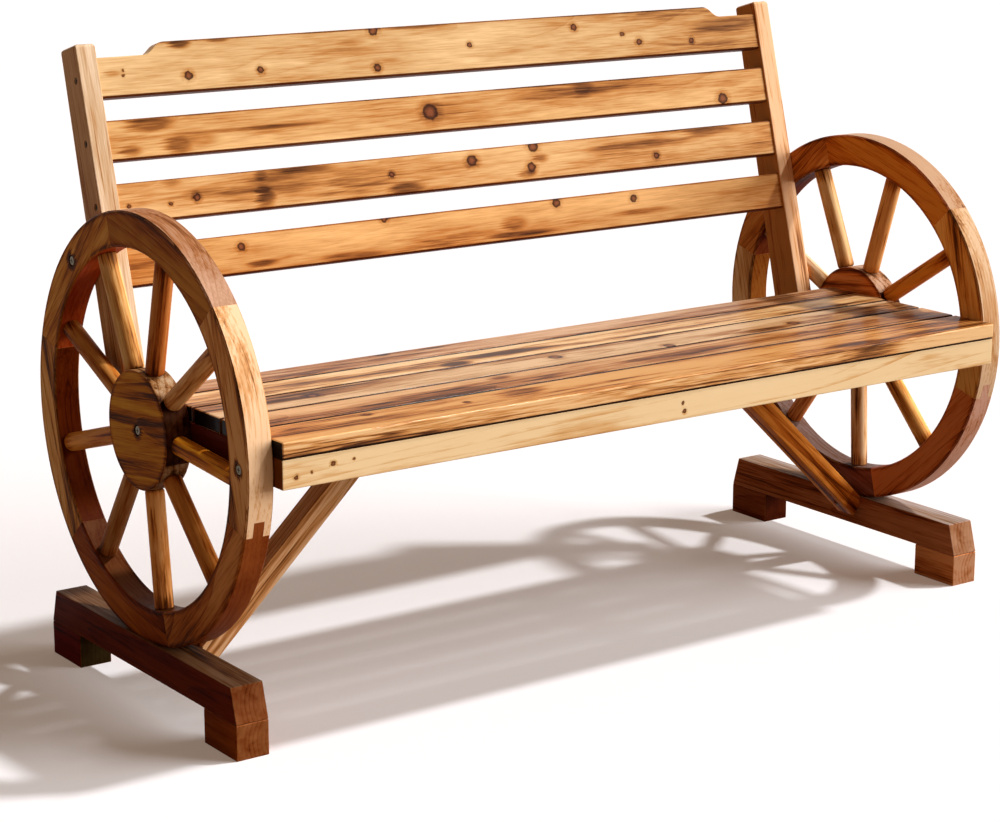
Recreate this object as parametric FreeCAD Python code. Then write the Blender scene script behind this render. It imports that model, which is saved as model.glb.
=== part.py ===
import FreeCAD, Part
import math
import os

os.makedirs("parts", exist_ok=True)
V = FreeCAD.Vector

# All sizes in millimetres: X along the bench, -Y the front, Z up, origin on the floor under the middle.
CONTACT = 0.2
ROUND_FIT = 0.3

# Seat, set out from the wheels: its top lies above the hubs and its front stands out past the rims
SEAT_ABOVE_HUB = 41.0
SEAT_OVERHANG = 20.0
SEAT_LENGTH = 1185.6
PLANK_THICK = 20.5
PLANK_GAP = 5.0
FRONT_PLANK_WIDTH = 76.0
MIDDLE_PLANK_WIDTH = 64.5
MIDDLE_PLANKS = 3
REAR_PLANK_WIDTH = 53.5
PLANK_EASE = 2.5
RAIL_HEIGHT = 38.5
SIDE_RAIL_WIDTH = 29.0
APRON_THICK = 20.0
APRON_SETBACK = 1.5
APRON_SHADOW_GAP = 0.8
REAR_RAIL_SETBACK = 3.0
BATTEN_WIDTH = 40.0
BOARD_EASE = 1.5

# Wheels, angles counted from the front round by the top
WHEEL_RADIUS = 279.0
RIM_DEPTH = 46.0
WHEEL_THICK = 36.0
WHEEL_SINK = 4.0
RIM_EASE = 2.0
FELLOES = 6
TONGUE_THICK = 14.0
TONGUE_LENGTH = 20.0
TONGUE_STOP = 9.0
OPEN_TONGUE = 5
JOINT_TURN = {"left": 43.5, "right": 44.0}
SPOKES = 9
SPOKE_TURN = {"left": 36.0, "right": 33.0}
SPOKE_DIAMETER = 25.0
SPOKE_HUB_ROUND = 4.0
SPOKE_RIM_ROUND = 1.0
TENON_DIAMETER = 18.0
TENON_LENGTH = 22.0
SOCKET_OVERRUN = 5.0
HUB_RADIUS = 77.5
HUB_EASE = 1.5

# Feet
FOOT_WIDTH = 46.0
BEAM_HEIGHT = 46.0
BLOCK_HEIGHT = 46.0
BLOCK_LENGTH = 81.0
FOOT_LENGTH = 503.5
FOOT_BEHIND_WHEEL = 7.25
FOOT_END_SLOPE = 13.0
FOOT_EASE = 1.2

# Braces, each a bar that leans outward from the seat to its foot
BRACE_THICK = 30.0
BRACE_DEPTH = 34.0
BRACE_ANGLE = 43.5
BRACE_TIP_INSET = 13.0
BRACE_TIP_DROP = 28.0
BRACE_AHEAD_LEFT = 80.0
BRACE_AHEAD_RIGHT = 41.0
BRACE_EASE = 1.2

# Back, measured up the slope of the posts from the level of the seat top
LEAN = 15.3
POST_BEHIND_HUB = 91.6
POST_WIDTH = 29.0
POST_DEPTH_TOP = 44.0
POST_DEPTH_SEAT = 55.0
POST_TOP = 442.0
POST_FOOT_SPARE = 100.0
POST_TOP_ROUND = 5.0
POST_EASE = 2.0
SLAT_HEIGHT = 53.5
SLAT_PITCH = 83.0
FIRST_SLAT = 120.5
PLAIN_SLATS = 3
SLAT_THICK = 20.0
SLAT_SETBACK = 3.0
SLAT_LOWER_ROUND = 4.0
SLAT_EASE = 1.2
CREST_RISE = 16.0
CREST_SHOULDER = 66.6
CREST_OGEE = 35.0

# Fasteners
WHEEL_SCREW_HEAD = 12.4
WHEEL_SCREW_HEAD_HEIGHT = 4.0
WHEEL_SCREW_SHANK = 6.0
WHEEL_SCREW_LENGTH = 56.0
WHEEL_SCREW_SINK = 0.8
WHEEL_SCREW_RING = 1.3
FRONT_SCREW_ANGLE = 0.9
POST_SCREW_INTO = 34.0
SCREW_HEAD = 9.0
SCREW_HEAD_HEIGHT = 3.0
SCREW_SHANK = 5.0
SCREW_LENGTH = 50.0
SCREW_SINK = 2.0
SCREW_POINT = 4.0
SLOT_WIDTH = 1.3
SLOT_DEPTH = 1.2
SLOT_SHARE = 0.55
DOWEL_DIAMETER = 10.0
DOWEL_LENGTH = 38.0
DOWEL_IN_BOARD = 13.0
DOWEL_END_GAP = 0.5
DOWEL_DROP = 10.0
DOWEL_ASIDE = 10.0
PLANK_SCREW_SHIFT = 17.0
PLANK_SCREW_EDGE = 10.0
BLOCK_SCREW_SINK = 18.0
BLOCK_SCREW_SPACING = 36.0
POST_SCREW_SINK = 30.0
BRACE_HEAD_DROP = 18.0
BRACE_SCREW_DROP = 8.0
BRACE_SCREW_SINK = 30.0
RIM_SCREW_AHEAD = 48.0
RIM_SCREW_BEHIND = 25.0
HOLE_MOUTH = 60.0

# Values that follow from those above
FOOT_TOP = BLOCK_HEIGHT + BEAM_HEIGHT
WHEEL_Y = SEAT_OVERHANG / 2
WHEEL_Z = FOOT_TOP - WHEEL_SINK + WHEEL_RADIUS
SEAT_TOP = WHEEL_Z + SEAT_ABOVE_HUB
SEAT_FRONT_Y = WHEEL_Y - WHEEL_RADIUS - SEAT_OVERHANG
SEAT_HALF = SEAT_LENGTH / 2
PLANK_UNDER = SEAT_TOP - PLANK_THICK
RAIL_TOP = PLANK_UNDER - CONTACT
RAIL_BOTTOM = RAIL_TOP - RAIL_HEIGHT
RAIL_INNER_X = SEAT_HALF - SIDE_RAIL_WIDTH
RAIL_MIDDLE_X = SEAT_HALF - SIDE_RAIL_WIDTH / 2
APRON_FRONT_Y = SEAT_FRONT_Y + APRON_SETBACK
APRON_REAR_Y = APRON_FRONT_Y + APRON_THICK
FRAME_FRONT_Y = APRON_REAR_Y + CONTACT
SEAT_DEPTH = (FRONT_PLANK_WIDTH + MIDDLE_PLANKS * MIDDLE_PLANK_WIDTH + REAR_PLANK_WIDTH
              + (MIDDLE_PLANKS + 1) * PLANK_GAP)
SEAT_REAR_Y = SEAT_FRONT_Y + SEAT_DEPTH
REAR_RAIL_Y = SEAT_REAR_Y - REAR_RAIL_SETBACK - APRON_THICK
WHEEL_INNER_X = SEAT_HALF + CONTACT
WHEEL_OUTER_X = WHEEL_INNER_X + WHEEL_THICK
WHEEL_MIDDLE_X = WHEEL_INNER_X + WHEEL_THICK / 2
RIM_INNER = WHEEL_RADIUS - RIM_DEPTH
RIM_MIDDLE = WHEEL_RADIUS - RIM_DEPTH / 2
TONGUE_ANGLE = math.degrees(TONGUE_LENGTH / WHEEL_RADIUS)
JOINT_GAP_ANGLE = math.degrees(CONTACT / RIM_MIDDLE)
FOOT_INNER_X = WHEEL_MIDDLE_X - FOOT_WIDTH / 2
FOOT_OUTER_X = WHEEL_MIDDLE_X + FOOT_WIDTH / 2
FOOT_MIDDLE_Y = WHEEL_Y + FOOT_BEHIND_WHEEL
BRACE_FRONT_Y = {"left": WHEEL_Y - BRACE_AHEAD_LEFT, "right": WHEEL_Y - BRACE_AHEAD_RIGHT}
BRACE_SLOPE = math.tan(math.radians(BRACE_ANGLE))
BRACE_ACROSS_X = BRACE_THICK * math.sin(math.radians(BRACE_ANGLE))
BRACE_ACROSS_Z = BRACE_THICK * math.cos(math.radians(BRACE_ANGLE))
BRACE_TIP_X = FOOT_INNER_X - BRACE_TIP_INSET
BRACE_TIP_Z = FOOT_TOP - BRACE_TIP_DROP
BRACE_TOP_Z = RAIL_BOTTOM - CONTACT
BRACE_LOWER_TOP_X = BRACE_TIP_X - (BRACE_TOP_Z - BRACE_TIP_Z) / BRACE_SLOPE
BRACE_UPPER_TOP_X = BRACE_LOWER_TOP_X + BRACE_ACROSS_X + BRACE_ACROSS_Z / BRACE_SLOPE
BATTEN_X = (BRACE_LOWER_TOP_X + BRACE_UPPER_TOP_X) / 2
BATTEN_REAR_Y = REAR_RAIL_Y - CONTACT
POST_FRONT_Y = WHEEL_Y + POST_BEHIND_HUB
POST_INNER_X = SEAT_HALF - POST_WIDTH
SLAT_HALF = POST_INNER_X - CONTACT
CREST_OUTER_X = SLAT_HALF - CREST_SHOULDER
CREST_INNER_X = CREST_OUTER_X - CREST_OGEE
SIDES = {"left": -1, "right": 1}

pieces = {}
screws = {"wheel_screws": [], "frame_screws": []}
dowels = []


def box(x0, x1, y0, y1, z0, z1, ease=0.0):
    low = V(min(x0, x1), min(y0, y1), min(z0, z1))
    solid = Part.makeBox(abs(x1 - x0), abs(y1 - y0), abs(z1 - z0), low)
    if ease:
        solid = solid.makeFillet(ease, solid.Edges)
    return solid


def prism(points, along, ease=0.0):
    wire = Part.makePolygon(points + [points[0]])
    solid = Part.Face(wire).extrude(along)
    if ease:
        solid = solid.makeFillet(ease, solid.Edges)
    return solid


def on_wheel(x, radius, angle):
    turn = math.radians(angle)
    return V(x, WHEEL_Y - radius * math.cos(turn), WHEEL_Z + radius * math.sin(turn))


def outward(angle):
    return on_wheel(0, 1, angle) - on_wheel(0, 0, angle)


def ring(x0, x1, start, end, ease=0.0, inset=0.0):
    low = RIM_INNER + inset
    high = WHEEL_RADIUS - inset
    profile = [(x0 + ease, low), (x1 - ease, low), (x1, low + ease), (x1, high - ease),
               (x1 - ease, high), (x0 + ease, high), (x0, high - ease), (x0, low + ease)]
    if not ease:
        profile = profile[0::2]
    points = [on_wheel(x, radius, start) for x, radius in profile]
    face = Part.Face(Part.makePolygon(points + [points[0]]))
    return face.revolve(V(0, WHEEL_Y, WHEEL_Z), V(-1, 0, 0), end - start)


def spoke_sockets(middle_x, turn):
    sockets = []
    radius = TENON_DIAMETER / 2 + ROUND_FIT
    deep = TENON_LENGTH + DOWEL_END_GAP
    for number in range(SPOKES):
        angle = turn + number * 360 / SPOKES
        out = outward(angle)
        long = deep + SOCKET_OVERRUN
        from_rim = on_wheel(middle_x, RIM_INNER - SOCKET_OVERRUN, angle)
        from_hub = on_wheel(middle_x, HUB_RADIUS - deep, angle)
        sockets.append(Part.makeCylinder(radius, long, from_rim, out))
        sockets.append(Part.makeCylinder(radius, long, from_hub, out))
    return Part.makeCompound(sockets)


def felloe(side, number):
    sign = SIDES[side]
    x0 = min(sign * WHEEL_INNER_X, sign * WHEEL_OUTER_X)
    x1 = x0 + WHEEL_THICK
    middle = sign * WHEEL_MIDDLE_X
    start = JOINT_TURN[side] + number * 360 / FELLOES
    end = start + 360 / FELLOES
    half = TONGUE_THICK / 2
    body = ring(x0, x1, start + JOINT_GAP_ANGLE, end, RIM_EASE)
    slot_end = start + TONGUE_ANGLE + 2 * JOINT_GAP_ANGLE
    # Only the joint low at the front is open at the rim, and the other tongues stop inside the wood
    slot_stop = 0.0 if number == OPEN_TONGUE else TONGUE_STOP - CONTACT
    tongue_stop = 0.0 if number + 1 == OPEN_TONGUE else TONGUE_STOP
    slot = ring(middle - half - CONTACT, middle + half + CONTACT, start - 1, slot_end, inset=slot_stop)
    tongue = ring(middle - half, middle + half, end - 1, end + TONGUE_ANGLE, inset=tongue_stop)
    return body.cut(slot).fuse(tongue).removeSplitter()


def spoke(middle_x, angle):
    out = outward(angle)
    low = HUB_RADIUS + CONTACT
    high = math.sqrt(RIM_INNER ** 2 - (SPOKE_DIAMETER / 2) ** 2) - CONTACT
    bar = Part.makeCylinder(SPOKE_DIAMETER / 2, high - low)
    ends = [edge for edge in bar.Edges if len(edge.Vertexes) == 1]
    hub_end = [edge for edge in ends if edge.CenterOfMass.z < 1]
    bar = bar.makeFillet(SPOKE_HUB_ROUND, hub_end)
    rim_end = [edge for edge in bar.Edges if edge.CenterOfMass.z > high - low - 1e-3]
    bar = bar.makeChamfer(SPOKE_RIM_ROUND, rim_end)
    bar.Placement = FreeCAD.Placement(on_wheel(middle_x, low, angle), FreeCAD.Rotation(V(0, 0, 1), out))
    inner = HUB_RADIUS - TENON_LENGTH
    outer = RIM_INNER + TENON_LENGTH
    tenon = Part.makeCylinder(TENON_DIAMETER / 2, outer - inner, on_wheel(middle_x, inner, angle), out)
    return bar.fuse(tenon).removeSplitter()


def wheel(side):
    sign = SIDES[side]
    middle = sign * WHEEL_MIDDLE_X
    turn = SPOKE_TURN[side]
    sockets = spoke_sockets(middle, turn)
    for number in range(FELLOES):
        pieces[f"{side}_felloe_{number + 1}"] = felloe(side, number).cut(sockets)
    for number in range(SPOKES):
        pieces[f"{side}_spoke_{number + 1}"] = spoke(middle, turn + number * 360 / SPOKES)
    start = V(min(sign * WHEEL_INNER_X, sign * WHEEL_OUTER_X), WHEEL_Y, WHEEL_Z)
    hub = Part.makeCylinder(HUB_RADIUS, WHEEL_THICK, start, V(1, 0, 0))
    rims = [edge for edge in hub.Edges if len(edge.Vertexes) == 1]
    pieces[f"{side}_hub"] = hub.makeFillet(HUB_EASE, rims).cut(sockets)


def foot(side):
    sign = SIDES[side]
    low_x = min(sign * FOOT_INNER_X, sign * FOOT_OUTER_X)
    across = V(FOOT_WIDTH, 0, 0)
    front = FOOT_MIDDLE_Y - FOOT_LENGTH / 2
    rear = FOOT_MIDDLE_Y + FOOT_LENGTH / 2
    under = BLOCK_HEIGHT + CONTACT
    outline = [V(low_x, front, under), V(low_x, rear, under), V(low_x, rear - FOOT_END_SLOPE, FOOT_TOP),
               V(low_x, front + FOOT_END_SLOPE, FOOT_TOP)]
    beam = prism(outline, across, FOOT_EASE)
    saddle_wide = WHEEL_THICK + 2 * ROUND_FIT
    saddle_start = V(sign * WHEEL_MIDDLE_X - saddle_wide / 2, WHEEL_Y, WHEEL_Z)
    saddle = Part.makeCylinder(WHEEL_RADIUS + ROUND_FIT, saddle_wide, saddle_start, V(1, 0, 0))
    pieces[f"{side}_foot_beam"] = beam.cut(saddle)
    for end, edge, inward in (("front", front, 1), ("rear", rear, -1)):
        inner = edge + inward * BLOCK_LENGTH
        pieces[f"{side}_foot_block_{end}"] = box(low_x, low_x + FOOT_WIDTH, edge, inner, 0, BLOCK_HEIGHT, FOOT_EASE)


def brace(side):
    sign = SIDES[side]
    face_x = FOOT_INNER_X - CONTACT
    square_z = BRACE_TIP_Z + (face_x - BRACE_TIP_X) * BRACE_ACROSS_Z / BRACE_ACROSS_X
    upper_z = BRACE_TIP_Z + BRACE_ACROSS_Z + (BRACE_TIP_X + BRACE_ACROSS_X - face_x) * BRACE_SLOPE
    outline = [(BRACE_LOWER_TOP_X, BRACE_TOP_Z), (BRACE_TIP_X, BRACE_TIP_Z), (face_x, square_z),
               (face_x, upper_z), (BRACE_UPPER_TOP_X, BRACE_TOP_Z)]
    front = BRACE_FRONT_Y[side]
    points = [V(sign * x, front, z) for x, z in outline]
    pieces[f"{side}_brace"] = prism(points, V(0, BRACE_DEPTH, 0), BRACE_EASE)


def plank_rows():
    rows = []
    y = SEAT_FRONT_Y
    for width in [FRONT_PLANK_WIDTH] + MIDDLE_PLANKS * [MIDDLE_PLANK_WIDTH] + [REAR_PLANK_WIDTH]:
        rows.append((y, y + width))
        y = y + width + PLANK_GAP
    return rows


def seat():
    for number, (front, rear) in enumerate(plank_rows()):
        plank = box(-SEAT_HALF, SEAT_HALF, front, rear, PLANK_UNDER, SEAT_TOP, PLANK_EASE)
        pieces[f"seat_plank_{number + 1}"] = plank
    pieces["seat_front_apron"] = box(-SEAT_HALF, SEAT_HALF, APRON_FRONT_Y, APRON_REAR_Y, RAIL_BOTTOM,
                                     PLANK_UNDER - APRON_SHADOW_GAP, BOARD_EASE)
    pieces["seat_rear_rail"] = box(-RAIL_INNER_X + CONTACT, RAIL_INNER_X - CONTACT, REAR_RAIL_Y,
                                   REAR_RAIL_Y + APRON_THICK, RAIL_BOTTOM, RAIL_TOP, BOARD_EASE)
    tangent = math.tan(math.radians(LEAN))
    for side, sign in SIDES.items():
        low_x = min(sign * RAIL_INNER_X, sign * SEAT_HALF)
        top_rear = POST_FRONT_Y + (RAIL_TOP - SEAT_TOP) * tangent - CONTACT
        low_rear = POST_FRONT_Y + (RAIL_BOTTOM - SEAT_TOP) * tangent - CONTACT
        outline = [V(low_x, FRAME_FRONT_Y, RAIL_BOTTOM), V(low_x, low_rear, RAIL_BOTTOM),
                   V(low_x, top_rear, RAIL_TOP), V(low_x, FRAME_FRONT_Y, RAIL_TOP)]
        pieces[f"{side}_side_rail"] = prism(outline, V(SIDE_RAIL_WIDTH, 0, 0), BOARD_EASE)
        low_x = sign * BATTEN_X - BATTEN_WIDTH / 2
        high_x = sign * BATTEN_X + BATTEN_WIDTH / 2
        pieces[f"{side}_seat_batten"] = box(low_x, high_x, FRAME_FRONT_Y, BATTEN_REAR_Y,
                                            RAIL_BOTTOM, RAIL_TOP, BOARD_EASE)


def lean_back(shape):
    tilt = FreeCAD.Rotation(V(1, 0, 0), -LEAN)
    moved = shape.copy()
    moved.Placement = FreeCAD.Placement(V(0, POST_FRONT_Y, SEAT_TOP), tilt).multiply(moved.Placement)
    return moved


def on_back(x, into, along):
    tilt = FreeCAD.Rotation(V(1, 0, 0), -LEAN)
    return V(0, POST_FRONT_Y, SEAT_TOP) + tilt.multVec(V(x, into, along))


def slat_rows():
    return [FIRST_SLAT + number * SLAT_PITCH for number in range(PLAIN_SLATS + 1)]


def eased_slat(solid, base):
    def is_lower_front(edge):
        middle = edge.CenterOfMass
        return abs(middle.z - base) < 0.01 and abs(middle.y - SLAT_SETBACK) < 0.01

    solid = solid.makeFillet(SLAT_LOWER_ROUND, [edge for edge in solid.Edges if is_lower_front(edge)])
    long_edges = []
    for edge in solid.Edges:
        box_size = edge.BoundBox
        if box_size.XLength > 20 and edge.CenterOfMass.z > base + SLAT_HEIGHT - 1:
            long_edges.append(edge)
    return solid.makeFillet(SLAT_EASE, long_edges)


def back():
    rear_foot = POST_DEPTH_SEAT + (POST_DEPTH_SEAT - POST_DEPTH_TOP) * POST_FOOT_SPARE / POST_TOP
    below = box(-SEAT_LENGTH, SEAT_LENGTH, -SEAT_LENGTH, SEAT_LENGTH, -SEAT_LENGTH, RAIL_BOTTOM)
    for side, sign in SIDES.items():
        low_x = min(sign * POST_INNER_X, sign * SEAT_HALF)
        outline = [V(low_x, 0, -POST_FOOT_SPARE), V(low_x, 0, POST_TOP), V(low_x, POST_DEPTH_TOP, POST_TOP),
                   V(low_x, rear_foot, -POST_FOOT_SPARE)]
        post = prism(outline, V(POST_WIDTH, 0, 0))
        top_edges = [edge for edge in post.Edges if edge.BoundBox.ZMin > POST_TOP - 1]
        post = post.makeFillet(POST_TOP_ROUND, top_edges)
        long_edges = [edge for edge in post.Edges if edge.BoundBox.ZLength > POST_TOP / 2]
        post = post.makeFillet(POST_EASE, long_edges)
        pieces[f"{side}_back_post"] = lean_back(post).cut(below)
    rows = slat_rows()
    for number, base in enumerate(rows[:-1]):
        slat = box(-SLAT_HALF, SLAT_HALF, SLAT_SETBACK, SLAT_SETBACK + SLAT_THICK, base, base + SLAT_HEIGHT)
        pieces[f"back_slat_{number + 1}"] = lean_back(eased_slat(slat, base))
    base = rows[-1]
    shoulder = base + SLAT_HEIGHT
    crown = shoulder + CREST_RISE
    middle_x = (CREST_INNER_X + CREST_OUTER_X) / 2

    def ogee(sign):
        curve = Part.BezierCurve()
        poles = [(CREST_OUTER_X, shoulder), (middle_x, shoulder), (middle_x, crown), (CREST_INNER_X, crown)]
        curve.setPoles([V(sign * x, SLAT_SETBACK, z) for x, z in poles])
        return curve.toShape()

    def straight(xa, za, xb, zb):
        return Part.makeLine(V(xa, SLAT_SETBACK, za), V(xb, SLAT_SETBACK, zb))

    edges = [straight(-SLAT_HALF, base, SLAT_HALF, base), straight(SLAT_HALF, base, SLAT_HALF, shoulder),
             straight(SLAT_HALF, shoulder, CREST_OUTER_X, shoulder), ogee(1),
             straight(CREST_INNER_X, crown, -CREST_INNER_X, crown), ogee(-1),
             straight(-CREST_OUTER_X, shoulder, -SLAT_HALF, shoulder),
             straight(-SLAT_HALF, shoulder, -SLAT_HALF, base)]
    crest = Part.Face(Part.Wire(Part.__sortEdges__(edges))).extrude(V(0, SLAT_THICK, 0))
    pieces["back_crest_slat"] = lean_back(eased_slat(crest, base))


def screw_shape(head, head_height, shank, length):
    solid = Part.makeCylinder(head / 2, head_height)
    solid = solid.makeFillet(head_height / 4, [edge for edge in solid.Edges if edge.CenterOfMass.z < 0.01
                                               and len(edge.Vertexes) == 1])
    straight = length - SCREW_POINT
    solid = solid.fuse(Part.makeCylinder(shank / 2, straight - head_height / 2, V(0, 0, head_height / 2)))
    solid = solid.fuse(Part.makeCone(shank / 2, shank / 8, SCREW_POINT, V(0, 0, straight)))
    reach = head * SLOT_SHARE
    slots = Part.makeBox(reach, SLOT_WIDTH, SLOT_DEPTH, V(-reach / 2, -SLOT_WIDTH / 2, 0))
    slots = slots.fuse(Part.makeBox(SLOT_WIDTH, reach, SLOT_DEPTH, V(-SLOT_WIDTH / 2, -reach / 2, 0)))
    return solid.removeSplitter().cut(slots)


def placed(shape, point, direction):
    moved = shape.copy()
    moved.Placement = FreeCAD.Placement(point, FreeCAD.Rotation(V(0, 0, 1), direction))
    return moved


def drive(group, point, direction, through, ring_gap=ROUND_FIT):
    if group == "wheel_screws":
        sizes = (WHEEL_SCREW_HEAD, WHEEL_SCREW_HEAD_HEIGHT, WHEEL_SCREW_SHANK, WHEEL_SCREW_LENGTH)
    else:
        sizes = (SCREW_HEAD, SCREW_HEAD_HEIGHT, SCREW_SHANK, SCREW_LENGTH)
    head, head_height, shank, length = sizes
    screws[group].append(placed(screw_shape(*sizes), point, direction))
    hole = Part.makeCylinder(shank / 2 + ROUND_FIT, length + DOWEL_END_GAP)
    mouth = Part.makeCylinder(head / 2 + ring_gap, head_height + CONTACT + HOLE_MOUTH, V(0, 0, -HOLE_MOUTH))
    first = placed(hole.fuse(mouth), point, direction)
    rest = placed(hole, point, direction)
    pieces[through[0]] = pieces[through[0]].cut(first)
    for name in through[1:]:
        pieces[name] = pieces[name].cut(rest)


def pin(point, direction, board, beam):
    radius = DOWEL_DIAMETER / 2
    dowels.append(placed(Part.makeCylinder(radius, DOWEL_LENGTH), point, direction))
    hole = Part.makeCylinder(radius + ROUND_FIT, DOWEL_LENGTH + 2 * DOWEL_END_GAP, V(0, 0, -DOWEL_END_GAP))
    for name in (board, beam):
        pieces[name] = pieces[name].cut(placed(hole, point, direction))


def felloe_at(side, angle):
    step = 360 / FELLOES
    return f"{side}_felloe_{int(((angle - JOINT_TURN[side]) % 360) // step) + 1}"


def post_screw_point(x):
    # The place where the middle of the rim crosses the line of screws up the post
    start = on_back(0, POST_SCREW_INTO, 0) - V(0, WHEEL_Y, WHEEL_Z)
    up = on_back(0, POST_SCREW_INTO, 1) - on_back(0, POST_SCREW_INTO, 0)
    near = start.dot(up)
    reach = math.sqrt(near ** 2 - start.dot(start) + RIM_MIDDLE ** 2) - near
    point = on_back(0, POST_SCREW_INTO, reach)
    return V(x, point.y, point.z)


def angle_of(point):
    return math.degrees(math.atan2(point.z - WHEEL_Z, WHEEL_Y - point.y))


def fasten_wheel(side):
    sign = SIDES[side]
    inward = V(-sign, 0, 0)
    x = sign * (WHEEL_OUTER_X - WHEEL_SCREW_SINK)
    rail = f"{side}_side_rail"
    post_point = post_screw_point(x)
    front = [felloe_at(side, FRONT_SCREW_ANGLE), rail]
    rear = [felloe_at(side, angle_of(post_point)), f"{side}_back_post"]
    drive("wheel_screws", on_wheel(x, 0, 0), inward, [f"{side}_hub", rail], WHEEL_SCREW_RING)
    drive("wheel_screws", on_wheel(x, RIM_MIDDLE, FRONT_SCREW_ANGLE), inward, front, WHEEL_SCREW_RING)
    drive("wheel_screws", post_point, inward, rear, WHEEL_SCREW_RING)
    for shift in (-RIM_SCREW_AHEAD, RIM_SCREW_BEHIND):
        head = V(sign * WHEEL_MIDDLE_X, WHEEL_Y + shift, BLOCK_HEIGHT + CONTACT + SCREW_SINK)
        target = felloe_at(side, angle_of(V(0, WHEEL_Y + shift, WHEEL_Z - WHEEL_RADIUS)))
        drive("frame_screws", head, V(0, 0, 1), [f"{side}_foot_beam", target])


def fasten_foot(side):
    sign = SIDES[side]
    beam = f"{side}_foot_beam"
    for end, inward in (("front", 1), ("rear", -1)):
        middle = FOOT_MIDDLE_Y - inward * (FOOT_LENGTH / 2 - BLOCK_LENGTH / 2)
        for step in (-0.5, 0.5):
            head = V(sign * WHEEL_MIDDLE_X, middle + step * BLOCK_SCREW_SPACING, BLOCK_SCREW_SINK)
            drive("frame_screws", head, V(0, 0, 1), [f"{side}_foot_block_{end}", beam])
    middle_y = BRACE_FRONT_Y[side] + BRACE_DEPTH / 2
    head = V(sign * (FOOT_INNER_X - BRACE_SCREW_SINK), middle_y, FOOT_TOP - BRACE_SCREW_DROP)
    drive("frame_screws", head, V(sign, 0, 0), [f"{side}_brace", beam])
    head = V(sign * BATTEN_X, middle_y, RAIL_BOTTOM - BRACE_HEAD_DROP)
    drive("frame_screws", head, V(0, 0, 1), [f"{side}_brace", f"{side}_seat_batten"])


def fasten_seat(side):
    sign = SIDES[side]
    rail = f"{side}_side_rail"
    batten = f"{side}_seat_batten"
    head_z = RAIL_BOTTOM + SCREW_SINK
    for number, (front, rear) in enumerate(plank_rows()):
        plank = f"seat_plank_{number + 1}"
        middle = min((front + rear) / 2, BATTEN_REAR_Y - PLANK_SCREW_EDGE)
        beside_screw = PLANK_SCREW_SHIFT if number == 0 else 0
        in_rail = V(sign * RAIL_MIDDLE_X, middle + beside_screw, head_z)
        drive("frame_screws", in_rail, V(0, 0, 1), [rail, plank])
        beside_brace = -sign * PLANK_SCREW_SHIFT if number == MIDDLE_PLANKS else 0
        in_batten = V(sign * BATTEN_X, middle + beside_brace, head_z)
        drive("frame_screws", in_batten, V(0, 0, 1), [batten, plank])
    middle_z = RAIL_BOTTOM + RAIL_HEIGHT / 2
    into_apron = APRON_REAR_Y - DOWEL_IN_BOARD
    pin(V(sign * RAIL_MIDDLE_X, into_apron, middle_z - DOWEL_DROP), V(0, 1, 0), "seat_front_apron", rail)
    pin_x = sign * (BATTEN_X - DOWEL_ASIDE)
    pin(V(pin_x, into_apron, middle_z), V(0, 1, 0), "seat_front_apron", batten)
    pin(V(pin_x, REAR_RAIL_Y + DOWEL_IN_BOARD, middle_z), V(0, -1, 0), "seat_rear_rail", batten)
    rear_middle = REAR_RAIL_Y + APRON_THICK / 2
    start = V(sign * (RAIL_INNER_X + DOWEL_IN_BOARD), rear_middle, middle_z - DOWEL_DROP)
    pin(start, V(-sign, 0, 0), rail, "seat_rear_rail")


def fasten_back(side):
    sign = SIDES[side]
    post = f"{side}_back_post"
    names = [f"back_slat_{number + 1}" for number in range(PLAIN_SLATS)] + ["back_crest_slat"]
    into = SLAT_SETBACK + SLAT_THICK / 2
    for name, base in zip(names, slat_rows()):
        head = on_back(sign * (SEAT_HALF - SCREW_SINK), into, base + SLAT_HEIGHT / 2)
        drive("frame_screws", head, V(-sign, 0, 0), [post, name])
    middle_z = RAIL_BOTTOM + RAIL_HEIGHT / 2
    front = POST_FRONT_Y + (middle_z - SEAT_TOP) * math.tan(math.radians(LEAN))
    head = V(sign * RAIL_MIDDLE_X, front + POST_DEPTH_SEAT - POST_SCREW_SINK, middle_z)
    drive("frame_screws", head, V(0, -1, 0), [post, f"{side}_side_rail"])


seat()
back()
for side in SIDES:
    wheel(side)
    foot(side)
    brace(side)
for side in SIDES:
    fasten_wheel(side)
    fasten_foot(side)
    fasten_seat(side)
    fasten_back(side)

for group, members in screws.items():
    pieces[group] = Part.makeCompound(members)
pieces["frame_dowels"] = Part.makeCompound(dowels)

for name, shape in pieces.items():
    shape.exportStep(f"parts/{name}.step")
    print(name, len(shape.Solids), shape.isValid(), round(shape.Volume / 1000, 1))
print("pieces", len(pieces))
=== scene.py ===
import bpy
import math
from mathutils import Matrix, Vector


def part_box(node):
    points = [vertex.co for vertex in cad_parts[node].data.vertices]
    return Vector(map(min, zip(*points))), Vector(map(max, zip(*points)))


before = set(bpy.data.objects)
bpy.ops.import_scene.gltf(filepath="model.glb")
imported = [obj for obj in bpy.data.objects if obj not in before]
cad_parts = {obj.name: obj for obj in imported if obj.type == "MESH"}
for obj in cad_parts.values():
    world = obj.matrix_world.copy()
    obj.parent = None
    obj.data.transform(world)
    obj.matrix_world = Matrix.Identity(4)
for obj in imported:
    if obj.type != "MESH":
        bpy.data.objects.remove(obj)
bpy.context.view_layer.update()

# Feet: a beam of dark stained fir under each wheel, standing on a block at each end.
# The beam is hollowed a little where the wheel sits in it, and screws come up through the blocks.
# Each board has its own tone, and its own tints on the outer side, the top and the front, which paint shade
# there by the way each face is turned, over the board's stain.


def linear(code):
    channels = [int(code[i:i + 2], 16) / 255 for i in (1, 3, 5)]
    return [c / 12.92 if c <= 0.04045 else ((c + 0.055) / 1.055) ** 2.4 for c in channels] + [1.0]


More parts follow.
